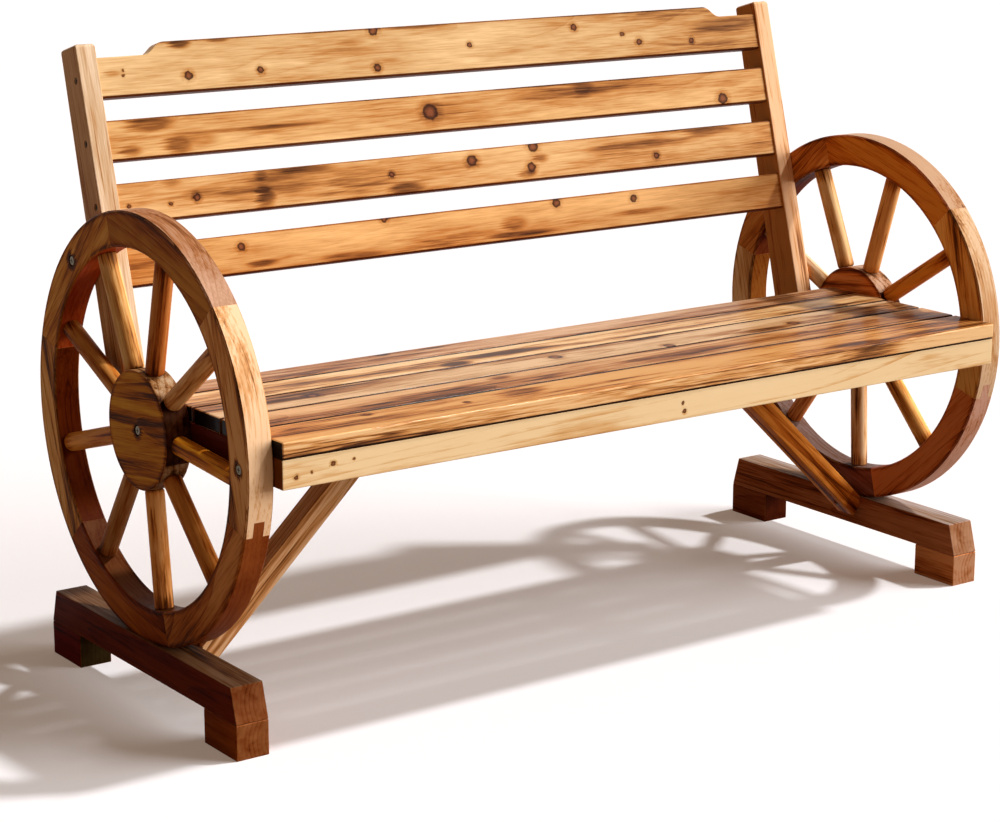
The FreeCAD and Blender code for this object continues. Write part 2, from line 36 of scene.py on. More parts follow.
def add(tree, kind, sockets, **settings):
    made = tree.nodes.new(kind)
    for setting, value in settings.items():
        setattr(made, setting, value)
    for socket, source in sockets.items():
        if isinstance(source, bpy.types.NodeSocket):
            tree.links.new(source, made.inputs[socket])
        else:
            made.inputs[socket].default_value = source
    return made.outputs


def emptied(owner):
    owner.use_nodes = True
    owner.node_tree.nodes.clear()
    return owner.node_tree


def dress(node, material):
    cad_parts[node].material_slots[0].material = material


def middle_of(node):
    low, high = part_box(node)
    return (low + high) / 2


# How many of each there are to a metre, along the grain and across it both ways. Fibres are 2 mm apart,
# several times the real ones so that they show, and cracks are a hand long.
FIBRES_PER_METRE = (24, 500, 500)
CRACKS_PER_METRE = (2.2, 75, 75)
WAVES_PER_METRE = (1.9, 9, 9)
# In metres: how far fibres draw a mark out, how far a knot's edge is worn, how far the trunk wanders
FEATHER = 0.03
KNOT_WEAR = (0.005, 0.004, 0)
TRUNK_WANDER = (0, 0.022, 0.03)
KNOT_HEART = "#84482a"
KNOT_RIM = "#34160b"
# The palest wood, as a gain on the board's tone, and the most that it may reflect
PALE_GAIN = (0.34, 0.52, 0.8)
PALE_LIMIT = 0.92
# From heat, to heat, and the share of the board's tone there: the tone itself, amber, toasted brown, char
HEAT_STEPS = ((0, 0.3, (1, 1, 1)), (0.3, 0.5, (0.8, 0.6, 0.4)), (0.5, 0.72, (0.42, 0.26, 0.15)),
              (0.72, 1, (0.1, 0.052, 0.032)))


# Scorched fir under clear lacquer, brown and striped with a low shine. One heat value runs the colour from
# pale wood to char. Broad patches, year rings, fibres, thin cracks, knots and the places where the flame
# stayed each add to it. Pith and ring are in metres, and drift is the patches to a metre, along and across.
# Knots are (x, y, radius) and burns are (x, y, half length, half width, heat), in mm from the board's
# middle, along and across its grain; the same burns also paint shade round screws and at the ends of
# spokes. Rims are burnt round edges of its facing side and its back, (x, y, radius, width, heat),
# measured the same way. Faces are (direction, nearness, reach, tint): where the normal's share of the
# direction is within reach of the nearness, the tint is laid over. Most face tints are painted shade,
# set by the way each face is turned; the ends tint darkens the sawn ends as end grain.
def scorched_fir(name, at, along, facing, seed, tone, pith=(0.045, -0.06), ring=0.0062, rings=0.3,
                 drift=(3.2, 22), spread=0.16, warmth=0.55, fibres=0.16, cracks=0.4, scorch=0.3,
                 knots=(), burns_and_shade=(), deepen=1.0, rims=(), faces=(), ends="#6a4a38", satin=0.42,
                 shine=0.012, coat=0.0):
    material = bpy.data.materials.new(name)
    tree = emptied(material)
    along = Vector(along).normalized()
    facing = Vector(facing).normalized()
    across = facing.cross(along)
    turn = Matrix((along, across, facing)).transposed().to_euler()
    place = add(tree, "ShaderNodeTexCoord", {})["Object"]
    board = add(tree, "ShaderNodeMapping", {"Vector": place, "Location": at, "Rotation": turn},
                vector_type="TEXTURE")["Vector"]
    # 1 on the long faces and 0 on the sawn ends, where fibres and cracks aren't seen lengthwise
    normal = add(tree, "ShaderNodeNewGeometry", {})["True Normal"]
    endwise = add(tree, "ShaderNodeVectorMath", {0: normal, 1: along}, operation="DOT_PRODUCT")["Value"]
    squarely = add(tree, "ShaderNodeMath", {0: endwise}, operation="ABSOLUTE")["Value"]
    flank = add(tree, "ShaderNodeMapRange", {"Value": squarely, 1: 0.8, 2: 0.95, 3: 1, 4: 0})["Result"]

    fine = add(tree, "ShaderNodeVectorMath", {0: board, 1: FIBRES_PER_METRE},
               operation="MULTIPLY")["Vector"]
    fibre = add(tree, "ShaderNodeTexNoise", {"Vector": fine, "W": seed, "Scale": 1, "Detail": 4},
                noise_dimensions="4D")[0]
    # Patches, cracks and burns feather out along the fibres
    feather = add(tree, "ShaderNodeVectorMath", {0: fibre, 1: (FEATHER, 0, 0), 2: board},
                  operation="MULTIPLY_ADD")["Vector"]

    # Tone drifts over patches that are long with the grain
    broad = add(tree, "ShaderNodeVectorMath", {0: feather, 1: (drift[0], drift[1], drift[1])},
                operation="MULTIPLY")["Vector"]
    patch = add(tree, "ShaderNodeTexNoise", {"Vector": broad, "W": seed + 11, "Scale": 1, "Detail": 5,
                                             "Roughness": 0.62}, noise_dimensions="4D")[0]
    heat = add(tree, "ShaderNodeMapRange",
               {"Value": patch, 1: 0.5 - spread, 2: 0.5 + spread, 3: 0, 4: warmth})["Result"]

    # Nearest knot, counted in its own radii, with an edge a millimetre uneven
    near = None
    lumps = add(tree, "ShaderNodeTexNoise", {"Vector": board, "Scale": 160, "Detail": 1})["Color"]
    worn = add(tree, "ShaderNodeVectorMath", {0: lumps, 1: KNOT_WEAR, 2: board},
               operation="MULTIPLY_ADD")["Vector"]
    for x, y, radius in knots:
        centre = (x / 1000 + KNOT_WEAR[0] / 2, y / 1000 + KNOT_WEAR[1] / 2, 0)
        off = add(tree, "ShaderNodeVectorMath", {0: worn, 1: centre}, operation="SUBTRACT")["Vector"]
        flat = add(tree, "ShaderNodeVectorMath", {0: off, 1: (900 / radius, 1000 / radius, 0)},
                   operation="MULTIPLY")["Vector"]
        radii = add(tree, "ShaderNodeVectorMath", {0: flat}, operation="LENGTH")["Value"]
        if near is None:
            near = radii
        else:
            near = add(tree, "ShaderNodeMath", {0: near, 1: radii}, operation="MINIMUM")["Value"]

    # Year rings: the trunk wanders about 10 mm in half a metre, so they run in long flames round the knots
    waves = add(tree, "ShaderNodeVectorMath", {0: board, 1: WAVES_PER_METRE},
                operation="MULTIPLY")["Vector"]
    wander = add(tree, "ShaderNodeTexNoise", {"Vector": waves, "W": seed, "Scale": 1, "Detail": 1},
                 noise_dimensions="4D")["Color"]
    sway = add(tree, "ShaderNodeVectorMath", {0: wander, 1: TRUNK_WANDER, 2: board},
               operation="MULTIPLY_ADD")["Vector"]
    trunk = add(tree, "ShaderNodeMapping",
                {"Vector": sway, "Location": (0, pith[0], pith[1]), "Rotation": (0, 0.02, 0.015)},
                vector_type="TEXTURE")["Vector"]
    section = add(tree, "ShaderNodeVectorMath", {0: trunk, 1: (0, 1 / ring, 1 / ring)},
                  operation="MULTIPLY")["Vector"]
    years = add(tree, "ShaderNodeVectorMath", {0: section}, operation="LENGTH")["Value"]
    if near is not None:
        bend = add(tree, "ShaderNodeMapRange", {"Value": near, 1: 0.6, 2: 2.4, 3: 0.45, 4: 0},
                   interpolation_type="SMOOTHERSTEP")["Result"]
        years = add(tree, "ShaderNodeMath", {0: years, 1: bend}, operation="ADD")["Value"]
    season = add(tree, "ShaderNodeMath", {0: years}, operation="FRACT")["Value"]
    summer = add(tree, "ShaderNodeMath", {0: season, 1: 3.0}, operation="POWER")["Value"]
    growth = add(tree, "ShaderNodeTexNoise", {"W": years, "Scale": 0.43, "Detail": 1},
                 noise_dimensions="1D")[0]
    strong = add(tree, "ShaderNodeMapRange", {"Value": growth, 1: 0.3, 2: 0.7, 3: 0.15, 4: 1})["Result"]
    line = add(tree, "ShaderNodeMath", {0: summer, 1: strong}, operation="MULTIPLY")["Value"]
    heat = add(tree, "ShaderNodeMath", {0: line, 1: rings, 2: heat}, operation="MULTIPLY_ADD")["Value"]
    thread = add(tree, "ShaderNodeMapRange",
                 {"Value": fibre, 1: 0.3, 2: 0.7, 3: -fibres, 4: fibres})["Result"]
    heat = add(tree, "ShaderNodeMath", {0: thread, 1: flank, 2: heat}, operation="MULTIPLY_ADD")["Value"]

    # Cracks: thin dark lines, only where the patches are warm
    thin = add(tree, "ShaderNodeVectorMath", {0: feather, 1: CRACKS_PER_METRE},
               operation="MULTIPLY")["Vector"]
    vein = add(tree, "ShaderNodeTexNoise", {"Vector": thin, "W": seed + 5, "Scale": 1, "Detail": 2},
               noise_dimensions="4D")[0]
    level = add(tree, "ShaderNodeMath", {0: vein, 1: 0.5}, operation="SUBTRACT")["Value"]
    away = add(tree, "ShaderNodeMath", {0: level}, operation="ABSOLUTE")["Value"]
    crack = add(tree, "ShaderNodeMapRange", {"Value": away, 1: 0.008, 2: 0.04, 3: cracks, 4: 0})["Result"]
    some = add(tree, "ShaderNodeMapRange", {"Value": patch, 1: 0.48, 2: 0.62, 3: 0, 4: 1})["Result"]
    here = add(tree, "ShaderNodeMath", {0: some, 1: flank}, operation="MULTIPLY")["Value"]
    heat = add(tree, "ShaderNodeMath", {0: crack, 1: here, 2: heat}, operation="MULTIPLY_ADD")["Value"]

    # Flame marks: a broad noise, and the places where the flame stayed, which also paint shade round screws
    # and at the ends of spokes
    smoke = add(tree, "ShaderNodeTexNoise", {"Vector": broad, "W": seed + 29, "Scale": 0.9, "Detail": 5,
                                             "Roughness": 0.62}, noise_dimensions="4D")[0]
    flame_and_shade = add(tree, "ShaderNodeMapRange", {"Value": smoke, 1: 0.52, 2: 0.7, 3: 0, 4: scorch},
                interpolation_type="SMOOTHSTEP")["Result"]
    for x, y, half_long, half_wide, deep in burns_and_shade:
        off = add(tree, "ShaderNodeVectorMath", {0: feather, 1: (x / 1000 + FEATHER / 2, y / 1000, 0)},
                  operation="SUBTRACT")["Vector"]
        flat = add(tree, "ShaderNodeVectorMath", {0: off, 1: (1000 / half_long, 1000 / half_wide, 0)},
                   operation="MULTIPLY")["Vector"]
        reach = add(tree, "ShaderNodeVectorMath", {0: flat}, operation="LENGTH")["Value"]
        ragged = add(tree, "ShaderNodeMath", {0: smoke, 1: 1.4, 2: reach}, operation="MULTIPLY_ADD")["Value"]
        spot = add(tree, "ShaderNodeMapRange", {"Value": ragged, 1: 1.0, 2: 2.0, 3: deep, 4: 0},
                   interpolation_type="SMOOTHSTEP")["Result"]
        flame_and_shade = add(tree, "ShaderNodeMath", {0: flame_and_shade, 1: spot}, operation="MAXIMUM")["Value"]
    heat = add(tree, "ShaderNodeMath", {0: flame_and_shade, 1: heat}, operation="ADD")["Value"]
    # The facing side and its back can be burnt deeper than the faces square to them
    turned = add(tree, "ShaderNodeVectorMath", {0: normal, 1: facing}, operation="DOT_PRODUCT")["Value"]
    broadside = add(tree, "ShaderNodeMath", {0: turned}, operation="ABSOLUTE")["Value"]
    extra = add(tree, "ShaderNodeMapRange", {"Value": broadside, 1: 0.5, 2: 0.9, 3: 1, 4: deepen})["Result"]
    heat = add(tree, "ShaderNodeMath", {0: heat, 1: extra}, operation="MULTIPLY")["Value"]
    in_mm = add(tree, "ShaderNodeVectorMath", {0: board, 1: (1000, 1000, 0)}, operation="MULTIPLY")["Vector"]
    for x, y, radius, width, deep in rims:
        span = add(tree, "ShaderNodeVectorMath", {0: in_mm, 1: (x, y, 0)}, operation="DISTANCE")["Value"]
        gap = add(tree, "ShaderNodeMath", {0: span, 1: radius}, operation="SUBTRACT")["Value"]
        inward = add(tree, "ShaderNodeMath", {0: gap}, operation="ABSOLUTE")["Value"]
        ragged = add(tree, "ShaderNodeMath", {0: smoke, 1: width, 2: inward},
                     operation="MULTIPLY_ADD")["Value"]
        band = add(tree, "ShaderNodeMapRange",
                   {"Value": ragged, 1: width * 0.3, 2: width * 1.5, 3: deep, 4: 0},
                   interpolation_type="SMOOTHSTEP")["Result"]
        heat = add(tree, "ShaderNodeMath", {0: band, 1: broadside, 2: heat},
                   operation="MULTIPLY_ADD")["Value"]
    if near is not None:
        halo = add(tree, "ShaderNodeMapRange", {"Value": near, 1: 0.9, 2: 2.2, 3: 0.26, 4: 0})["Result"]
        heat = add(tree, "ShaderNodeMath", {0: halo, 1: heat}, operation="ADD")["Value"]

    own = linear(tone)[:3]
    room = min(1, max(0, (PALE_LIMIT / own[0] - 1) / PALE_GAIN[0]))
    color = [channel * (1 + room * more) for channel, more in zip(own, PALE_GAIN)] + [1]
    for low, high, shares in HEAT_STEPS:
        share = add(tree, "ShaderNodeMapRange", {"Value": heat, 1: low, 2: high})["Result"]
        shade = [channel * part for channel, part in zip(own, shares)] + [1]
        color = add(tree, "ShaderNodeMix", {0: share, 6: color, 7: shade}, data_type="RGBA")[2]
    if near is not None:
        heart = add(tree, "ShaderNodeMapRange", {"Value": near, 1: 0.95, 2: 1.15, 3: 0.92, 4: 0})["Result"]
        rim = add(tree, "ShaderNodeMapRange", {"Value": near, 1: 0.3, 2: 0.8, 3: 0, 4: 1})["Result"]
        knot = add(tree, "ShaderNodeMix", {0: rim, 6: linear(KNOT_HEART), 7: linear(KNOT_RIM)},
                   data_type="RGBA")[2]
        color = add(tree, "ShaderNodeMix", {0: heart, 6: color, 7: knot}, data_type="RGBA")[2]
    for direction, nearness, reach, tint in (*faces, (along, 1, 0.15, ends), (-along, 1, 0.15, ends)):
        towards = add(tree, "ShaderNodeVectorMath", {0: normal, 1: direction},
                      operation="DOT_PRODUCT")["Value"]
        there = add(tree, "ShaderNodeMath", {0: towards, 1: nearness, 2: reach},
                    operation="COMPARE")["Value"]
        color = add(tree, "ShaderNodeMix", {0: there, 6: color, 7: linear(tint)}, data_type="RGBA",
                    blend_type="MULTIPLY")[2]

    relief = add(tree, "ShaderNodeMath", {0: fibre, 1: 0.6, 2: line}, operation="MULTIPLY_ADD")["Value"]
    bumped = add(tree, "ShaderNodeBump", {"Strength": 0.35, "Distance": 0.0005, "Height": relief})["Normal"]
    dull = add(tree, "ShaderNodeMapRange",
               {"Value": fibre, 1: 0.3, 2: 0.7, 3: satin - 0.07, 4: satin + 0.09})["Result"]
    shader = add(tree, "ShaderNodeBsdfPrincipled",
                 {"Base Color": color, "Roughness": dull, "Normal": bumped, "IOR": 1.5,
                  "Specular IOR Level": shine, "Coat Weight": coat, "Coat Roughness": 0.14,
                  "Coat IOR": 1.5})["BSDF"]
    add(tree, "ShaderNodeOutputMaterial", {"Surface": shader})
    return material


# Tone, and the tints of painted shade on the outer side, the top and the front
FOOT_TONES = {
    "left_foot_beam": ("#7b5539", "#d86e0c", "#faffff", "#ffd1a7"),
    "left_foot_block_front": ("#98552a", "#e9c26a", "#ffffff", "#d7dce3"),
    "left_foot_block_rear": ("#985525", "#ac2c0f", "#ffffff", "#506a73"),
    "right_foot_beam": ("#b6897a", "#ffcc8d", "#e1ffff", "#ddcca3"),
    "right_foot_block_front": ("#f4a166", "#ffffff", "#d6c6a7", "#c1d2f3"),
    "right_foot_block_rear": ("#a0643c", "#ecc6af", "#f0bb78", "#6c432c")}
# The right foot's outer sides, out of the photograph, are stained as brown as its other sides
OUTER_FOOT = {"right_foot_beam": "#ecd190", "right_foot_block_front": "#b6bab0",
              "right_foot_block_rear": "#ffffff"}
for number, (node, (tone, side_shade, top_shade, front_shade)) in enumerate(FOOT_TONES.items()):
    tints = (((-1, 0, 0), 1, 0.2, side_shade), ((1, 0, 0), 1, 0.2, OUTER_FOOT.get(node, side_shade)),
             ((0, 0, 1), 1, 0.2, top_shade), ((0, -1, 0), 1, 0.1, front_shade))
    dark_fir = scorched_fir(f"{node}_dark_stained_fir", middle_of(node), (0, 1, 0), (-1, 0, 0),
                            seed=1.3 + 2.7 * number, tone=tone, pith=(0.02, -0.05), rings=0.4,
                            drift=(2.4, 45), warmth=0.5, fibres=0.2, scorch=0.2, faces=tints,
                            ends="#ffffff")
    dress(node, dark_fir)

# Wheels: six sawn felloes tongued end to end round nine turned spokes and a solid hub.
# Each felloe is cut from a straight board, so its grain runs along its own chord.
# A spoke's grain runs along the spoke, and the hub's runs nearly level across its face.
FELLOES = 6
SPOKES = 9
WHEEL_MIDDLE = {"left": Vector((-0.611, 0.010, 0.367)), "right": Vector((0.611, 0.010, 0.367))}
FIRST_JOINT = {"left": 43.5, "right": 44.0}
FIRST_SPOKE = {"left": 36.0, "right": 33.0}
# Metres from the wheel's middle to the middle of a felloe and of a spoke
FELLOE_OUT = 0.25
SPOKE_OUT = 0.15
# Radii in mm, for the burnt edges
TREAD_RADIUS = 279
INSIDE_RADIUS = 233
HUB_RADIUS = 77.5
# Half length and half width in mm, and heat, of the painted shade round a screw, where the hole about its
# head would be dark
SCREW_SHADE = (12, 12, 0.9)
# Tone, and the tints of painted shade on the flat sides, the tread and the inner face, laid by the way each
# face is turned
FELLOE_TONES = {
    "left": (("#b5896c", "#f4cf6f", "#fcf5ec", "#b37c51"), ("#db9e50", "#ffffff", "#c6a48b", "#c4766c"),
             ("#f8c481", "#ffffff", "#cbae88", "#603110"), ("#9c4e1f", "#ffff79", "#dde5ff", "#adc4f3"),
             ("#c27d43", "#ffffff", "#aa836c", "#a8805d"), ("#f7cda2", "#efdcbd", "#ffffff", "#9f7c59")),
    "right": (("#f19e79", "#f2ea7f", "#d0faff", "#9e773f"), ("#e0aa84", "#ffe09c", "#efdc8a", "#7a4a30"),
              ("#f8deb3", "#ffeada", "#dfcfa2", "#8f5d2c"), ("#a87a5d", "#e8c7da", "#dabab0", "#aab5d4"),
              ("#f2a18b", "#f2d58b", "#dfffff", "#9c6b36"), ("#f8c994", "#ffeab3", "#e5ecff", "#8c784b"))}
# The right wheel's outer sides, out of the photograph, are stained as brown as the left wheel's
OUTER_TINTS = ("#c3d8ab", "#cac298", "#c49f78", "#ffffcf", "#bdce91", "#c6b193")
SPOKE_TONES = {
    "left": ("#dda468", "#b67037", "#ddad6e", "#bd7c3a", "#df923e",
             "#b17745", "#f7b16a", "#be7533", "#e29727"),
    "right": ("#ec9939", "#e3a461", "#efc289", "#ddbe96", "#e3a259",
              "#e49558", "#efc596", "#f9ba6b", "#e3a259")}
# Tone, and the tints of painted shade and light on the flat faces and on the round side
HUB_TONES = {"left": ("#cc9568", "#ffef7a", "#cddfeb"), "right": ("#f0a084", "#fff6af", "#caf3f3")}
# Screw places on the rim: felloe number, and the place's y and z
RIM_SCREWS = ((6, -0.246, 0.371), (2, 0.178, 0.560))
for side in ("left", "right"):
    outward = Vector((-1, 0, 0)) if side == "left" else Vector((1, 0, 0))
    for number in range(FELLOES):
        angle = math.radians(FIRST_JOINT[side] + 180 / FELLOES + 360 / FELLOES * number)
        out = Vector((0, -math.cos(angle), math.sin(angle)))
        round_rim = Vector((0, math.sin(angle), math.cos(angle)))
        middle = WHEEL_MIDDLE[side] + out * FELLOE_OUT
        # Painted shade round the screws on this felloe
        screw_shades = []
        for felloe, y, z in RIM_SCREWS:
            if felloe == number + 1:
                reach = Vector((middle.x, y, z)) - middle
                aside = reach.dot(outward.cross(round_rim))
                screw_shades.append((reach.dot(round_rim) * 1000, aside * 1000, *SCREW_SHADE))
        tone, side_shade, tread_shade, inner_shade = FELLOE_TONES[side][number]
        # On the left wheel the outer side takes the flat sides' painted shade; on the right it takes the
        # stain
        outer_stain_and_shade = side_shade if side == "left" else OUTER_TINTS[number]
        tints = ((outward, 1, 0.2, outer_stain_and_shade), (-outward, 1, 0.2, side_shade), (out, 1, 0.2, tread_shade),
                 (-out, 1, 0.2, inner_shade))
        node = f"{side}_felloe_{number + 1}"
        hollow = -1000 * FELLOE_OUT * out.dot(outward.cross(round_rim))
        felloe_fir = scorched_fir(f"{node}_stained_fir", middle, round_rim, outward,
                                  seed=40 + 3.1 * number + (7 if side == "right" else 0), tone=tone,
                                  faces=tints, ends="#ffffff", warmth=0.5, fibres=0.13, cracks=0.2,
                                  scorch=0.2, deepen=1.5 if side == "left" else 1.2, burns_and_shade=screw_shades,
                                  rims=((0, hollow, TREAD_RADIUS, 8, 0.6),
                                        (0, hollow, INSIDE_RADIUS, 8, 0.6)))
        dress(node, felloe_fir)
    for number in range(SPOKES):
        angle = math.radians(FIRST_SPOKE[side] + 360 / SPOKES * number)
        out = Vector((0, -math.cos(angle), math.sin(angle)))
        node = f"{side}_spoke_{number + 1}"
        # Each spoke is painted darker at both ends, as shade where it goes into the hub and the rim
        spoke_fir = scorched_fir(f"{node}_turned_fir", WHEEL_MIDDLE[side] + out * SPOKE_OUT, out, outward,
                                 seed=80 + 2.3 * number + (31 if side == "right" else 0),
                                 tone=SPOKE_TONES[side][number], pith=(0.02, -0.02), drift=(7, 70),
                                 warmth=0.62, fibres=0.14, scorch=0.25, shine=0.03,
                                 burns_and_shade=((83, 0, 20, 60, 0.3), (-80, 0, 20, 60, 0.3)))
        dress(node, spoke_fir)
    tone, face_shade, round_shade = HUB_TONES[side]
    # The hub's screw has the same painted shade round it
    hub_fir = scorched_fir(f"{side}_hub_scorched_fir", WHEEL_MIDDLE[side], (0, 1, -0.12), outward,
                           seed=133 if side == "left" else 141, tone=tone, pith=(0.02, -0.12), ring=0.009,
                           rings=0.5, drift=(3, 60), warmth=0.82, cracks=0.55,
                           burns_and_shade=((0, 0, *SCREW_SHADE),), rims=((0, 0, HUB_RADIUS, 9, 0.5),),
                           faces=((outward, 1, 0.2, face_shade), (-outward, 1, 0.2, face_shade),
                                  (outward, 0, 0.3, round_shade)))
    dress(f"{side}_hub", hub_fir)

# Braces: a square bar of stained fir from under the seat down to the inside of each foot.
# It is cut to the slope at both ends and held by one screw at each.
BRACE_RUN = 0.725
BRACE_DROP = 0.688
for side, sign, tone in (("left", -1, "#e1b181"), ("right", 1, "#d98232")):
    node = f"{side}_brace"
    down = (sign * BRACE_RUN, 0, -BRACE_DROP)
    brace_fir = scorched_fir(f"{node}_stained_fir", middle_of(node), down, (0, -1, 0), seed=150 + sign,
                             tone=tone, rings=0.5, drift=(2, 70), warmth=0.7)
    dress(node, brace_fir)

# Seat frame: side rails, cross battens and a rear rail of stained fir under the planks; the side rails and
# battens are dark with stain and painted shade, the left rail darkest.
# The apron across the front is a paler board, cut clear of the flame and lacquered.
GAP_SHADE = "#46301f"
for node, along, facing, tone in (("left_side_rail", (0, 1, 0), (-1, 0, 0), "#501a0e"),
                                  ("right_side_rail", (0, 1, 0), (1, 0, 0), "#7a4526"),
                                  ("left_seat_batten", (0, 1, 0), (0, 0, -1), "#8a5734"),
                                  ("right_seat_batten", (0, 1, 0), (0, 0, -1), "#8a5734"),
                                  ("seat_rear_rail", (1, 0, 0), (0, 1, 0), "#b07a49")):
    rail_fir = scorched_fir(f"{node}_stained_fir", middle_of(node), along, facing, seed=160 + len(node),
                            tone=tone)
    dress(node, rail_fir)
APRON_MARKS = ((-574, -5, 2.5), (-552, -2, 1.5), (-522, 4, 3), (-493, 6, 1.5), (18, 3, 2.5), (21, -8, 3))
apron_fir = scorched_fir("seat_front_apron_pale_fir", middle_of("seat_front_apron"), (1, 0, 0), (0, -1, 0),
                         seed=171, tone="#f2d1a0", pith=(0.06, -0.07), rings=0.25, drift=(2.4, 12),
                         warmth=0.5, fibres=0.07, cracks=0.15, shine=0.03, scorch=0.0,
                         knots=APRON_MARKS, ends="#72421d",
                         faces=(((0, 0, 1), 1, 0.55, GAP_SHADE),))
dress("seat_front_apron", apron_fir)

# Seat: five fir planks screwed from below, their long edges eased, under the thickest lacquer.
# The flame lay longest on these, so they run from cream to nearly black along the grain.
EDGE_SHADE = "#553a28"
PLANK_TONES = ("#f0c087", "#c38e5b", "#c39769", "#e4b983", "#bf8e64")
PLANK_KNOTS = (((-436, 22, 4.5), (-298, 6, 4.5)), (),
               ((-52, 6, 9), (120, -26, 8), (362, -11, 8), (-438, 3, 8)), (), ())
PLANK_BURNS = (((-210, 10, 40, 24, 0.52), (330, -20, 50, 14, 0.36), (351, -38, 60, 12, 0.45)),
               ((116, -6, 110, 20, 0.5), (-186, 16, 22, 10, 0.62)),
               ((121, 30, 36, 8, 0.82), (290, -21, 60, 9, 0.5)),
               ((-186, -20, 26, 13, 0.82), (-84, -3, 80, 12, 0.62)),
               ((-235, 20, 12, 7, 0.62),))
for number, tone in enumerate(PLANK_TONES):
    node = f"seat_plank_{number + 1}"
    # The left sawn ends are painted nearly black as shade; the right ends are darkened as end grain only
    end_grain_and_shade = (((-1, 0, 0), 1, 0.15, "#120603"), ((1, 0, 0), 1, 0.15, "#8a6248"))
    front_edge = ((0, -1, 0), 1, 0.45, EDGE_SHADE)
    rear_edge = ((0, 1, 0), 1, 0.45, EDGE_SHADE)
    if node == "seat_plank_1":
        tints = (((0, 0, 1), 1, 0.2, "#e4d2b6"), rear_edge, ((0, 0, -1), 1, 0.55, GAP_SHADE))
    elif node == "seat_plank_5":
        tints = (front_edge,)
    else:
        tints = (front_edge, rear_edge)
    plank_fir = scorched_fir(f"{node}_glossy_lacquered_fir", middle_of(node), (1, 0, 0), (0, 0, 1),
                             seed=180 + 5.3 * number, tone=tone, pith=(0.03 - 0.015 * number, -0.07),
                             rings=0.3, drift=(2.0, 30), spread=0.1, warmth=0.6, fibres=0.24,
                             cracks=0.65, scorch=0.4, knots=PLANK_KNOTS[number],
                             burns_and_shade=PLANK_BURNS[number], faces=(*tints, *end_grain_and_shade),
                             ends="#ffffff", satin=0.36, shine=0.02, coat=0.13)
    dress(node, plank_fir)

# Back posts: two leaning posts of fir, thinner towards their rounded tops, let down behind the seat.
# Each is painted darker on its side faces, as the shade on faces turned from the front.
LEAN = math.radians(15.3)
SLOPE = Vector((0, math.sin(LEAN), math.cos(LEAN)))
FRONT = Vector((0, -math.cos(LEAN), math.sin(LEAN)))
for node, seed, tone, side_shade, warmth in (("left_back_post", 211, "#d2af89", "#e9d3b9", 0.4),
                                            ("right_back_post", 223, "#f4c496", "#d0a66c", 0.42)):
    tints = (((-1, 0, 0), 1, 0.2, side_shade), ((1, 0, 0), 1, 0.2, side_shade))
    post_fir = scorched_fir(f"{node}_scorched_fir", middle_of(node), SLOPE, FRONT, seed=seed,
                            tone=tone, pith=(0.05, -0.06), drift=(3, 40), warmth=warmth, scorch=0.1,
                            cracks=0.35, faces=tints, ends="#c8a890", shine=0.03)
    dress(node, post_fir)

# Back slats: three straight slats and a crest board with a shaped top edge, let in between the posts.
# These are the knottiest boards of the bench, with dark marks where the flame stayed.
SLAT_TONES = {"back_slat_1": "#d49a5c", "back_slat_2": "#ddac72", "back_slat_3": "#d8a569",
              "back_crest_slat": "#d6aa73"}
SLAT_KNOTS = {
    "back_crest_slat": ((-433, -13, 5.6), (-322, -12, 4.6), (-528, 0, 1.8), (-529, -7, 1.8), (-134, 31, 6.5),
                        (-136, -21, 5.4), (25, 2, 3.9), (214, 17, 4.8), (302, 2, 3.5), (331, -11, 4.6),
                        (432, -15, 4.0)),
    "back_slat_3": ((-60, 2, 11.0), (476, -16, 8.0)),
    "back_slat_2": ((-140, 3, 3.7), (-449, -1, 4.8), (-489, -6, 2.6), (-550, -4, 2.4), (-2, 11, 7.6),
                    (108, 22, 7.6), (100, -7, 6.5), (331, -9, 4.6)),
    "back_slat_1": ((-394, 10, 5.3), (-163, 25, 4.7), (134, 20, 5.8), (276, 14, 5.6))}
SLAT_BURNS = {
    "back_crest_slat": ((-440, 32, 16, 8, 0.6), (-544, -3, 16, 5, 0.35), (-381, 33, 17, 4, 0.4),
                        (-63, 34, 70, 5, 0.4), (493, 5, 85, 14, 0.22)),
    "back_slat_3": ((-503, 20, 34, 11, 0.45), (-462, -12, 23, 14, 0.45), (-434, -8, 32, 12, 0.3),
                    (-352, 1, 120, 3, 0.4), (212, 16, 24, 12, 0.36), (-535, -16, 16, 8, 0.35),
                    (171, 13, 115, 7, 0.24)),
    "back_slat_2": ((-345, -6, 18, 20, 0.55), (-347, 18, 15, 12, 0.36), (-279, 23, 60, 10, 0.4),
                    (-318, 6, 62, 24, 0.28), (-119, -18, 32, 9, 0.45), (-483, 23, 20, 9, 0.3),
                    (90, -16, 19, 7, 0.4), (119, 4, 15, 8, 0.4), (442, 20, 56, 9, 0.3),
                    (304, 9, 120, 7, 0.18)),
    "back_slat_1": ((-365, -15, 25, 5, 0.45), (-219, -20, 52, 6, 0.35), (55, -2, 24, 10, 0.38),
                    (71, -18, 58, 5, 0.45), (285, -6, 60, 5, 0.4))}
# Half the height in mm, where each board's top edge is darkened in a thin band along its whole length
SLAT_TOP = 26.8
CREST_TOP = 34.8
# The slats' lower faces are painted darker, as the shade beneath them
for number, (node, tone) in enumerate(SLAT_TONES.items()):
    top_edge = (0, CREST_TOP if node == "back_crest_slat" else SLAT_TOP, 1500, 2.2, 0.5)
    slat_fir = scorched_fir(f"{node}_knotty_scorched_fir", middle_of(node), (1, 0, 0), FRONT,
                            seed=231 + 13.7 * number, tone=tone, rings=0.14, drift=(2.6, 15),
                            warmth=0.56, fibres=0.13, cracks=0.2, scorch=0.08, shine=0.03,
                            knots=SLAT_KNOTS[node], burns_and_shade=(*SLAT_BURNS[node], top_edge),
                            faces=((-SLOPE, 1, 0.7, "#7a5340"),))
    dress(node, slat_fir)

